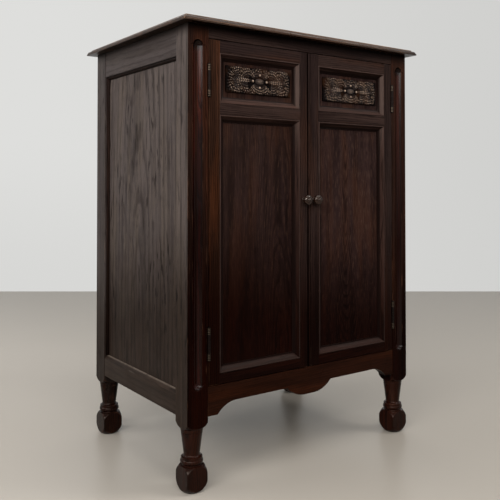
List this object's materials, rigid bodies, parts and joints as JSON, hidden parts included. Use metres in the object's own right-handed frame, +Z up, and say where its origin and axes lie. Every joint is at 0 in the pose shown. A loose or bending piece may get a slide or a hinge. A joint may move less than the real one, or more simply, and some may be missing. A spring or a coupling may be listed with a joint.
{
  "type": "gramophone cabinet",
  "caption": "Dark oak record cabinet for a table gramophone, with panelled doors, carved plaques, fluted front posts and turned legs on block feet.",
  "frame": {"origin": "on the floor, under the middle of the cabinet", "axes": "+X to the right seen from the front, +Y towards the back, +Z up; the doors face -Y"},
  "size_m": [0.638, 0.464, 0.9025],
  "materials": {
    "frame_oak": "dark stained oak, satin, worn at the edges",
    "door_panel_oak": "dark red-brown stained oak with open grain",
    "side_oak": "dark grey-brown stained oak with cathedral grain",
    "top_oak": "dark stained oak, worn to orange-brown at the corners",
    "inner_oak": "plain unpolished oak, lightly stained",
    "plywood": "plain plywood, lightly stained",
    "carved_oak": "carved oak with rubbed brown-gold highlights",
    "turned_oak": "turned and polished dark oak",
    "aged_brass": "aged, brown and dull, brighter where rubbed"
  },
  "bodies": {
    "cabinet": {"front_left_post": "frame_oak", "front_right_post": "frame_oak", "rear_left_post": "frame_oak", "rear_right_post": "frame_oak", "top_board": "top_oak", "front_top_rail": "frame_oak", "front_apron": "frame_oak", "left_top_rail": "frame_oak", "left_low_rail": "frame_oak", "left_panel": "side_oak", "right_top_rail": "frame_oak", "right_low_rail": "frame_oak", "right_panel": "side_oak", "side_beads": "frame_oak", "rear_top_rail": "frame_oak", "rear_low_rail": "frame_oak", "back_panel": "plywood", "bottom_board": "inner_oak", "shelf": "inner_oak", "shelf_battens": "inner_oak", "lower_dividers": "plywood", "upper_dividers": "plywood", "top_blocks": "inner_oak", "door_stops": "inner_oak", "left_upper_frame_leaf": "aged_brass", "left_lower_frame_leaf": "aged_brass", "right_upper_frame_leaf": "aged_brass", "right_lower_frame_leaf": "aged_brass", "hinge_pins": "aged_brass", "strike_plates": "aged_brass"},
    "left_door": {"left_door_hinge_stile": "frame_oak", "left_door_meeting_stile": "frame_oak", "left_door_top_rail": "frame_oak", "left_door_mid_rail": "frame_oak", "left_door_low_rail": "frame_oak", "left_door_upper_panel": "door_panel_oak", "left_door_lower_panel": "door_panel_oak", "left_door_upper_moulding": "frame_oak", "left_door_lower_moulding": "frame_oak", "left_door_carving": "carved_oak", "left_door_knob": "turned_oak", "left_upper_door_leaf": "aged_brass", "left_lower_door_leaf": "aged_brass", "left_catch_barrel": "aged_brass"},
    "right_door": {"right_door_hinge_stile": "frame_oak", "right_door_meeting_stile": "frame_oak", "right_door_top_rail": "frame_oak", "right_door_mid_rail": "frame_oak", "right_door_low_rail": "frame_oak", "right_door_upper_panel": "door_panel_oak", "right_door_lower_panel": "door_panel_oak", "right_door_upper_moulding": "frame_oak", "right_door_lower_moulding": "frame_oak", "right_door_carving": "carved_oak", "right_door_knob": "turned_oak", "right_upper_door_leaf": "aged_brass", "right_lower_door_leaf": "aged_brass", "right_catch_barrel": "aged_brass"},
    "left_ball": {"left_catch_ball": "aged_brass"},
    "right_ball": {"right_catch_ball": "aged_brass"}
  },
  "joints": [
    {"name": "left_door_hinge", "type": "hinge", "parent": "cabinet", "child": "left_door", "pos_m": [-0.2534, -0.214, 0.53], "axis": [0, 0, -1], "range_deg": [0, 175]},
    {"name": "right_door_hinge", "type": "hinge", "parent": "cabinet", "child": "right_door", "pos_m": [0.2534, -0.214, 0.53], "axis": [0, 0, 1], "range_deg": [0, 175]},
    {"name": "left_catch_press", "type": "slide", "parent": "left_door", "child": "left_ball", "axis": [0, 0, -1], "range_m": [0, 0.0011], "stiffness_N_per_m": 15, "springref_m": -0.001},
    {"name": "right_catch_press", "type": "slide", "parent": "right_door", "child": "right_ball", "axis": [0, 0, -1], "range_m": [0, 0.0011], "stiffness_N_per_m": 15, "springref_m": -0.001}
  ]
}
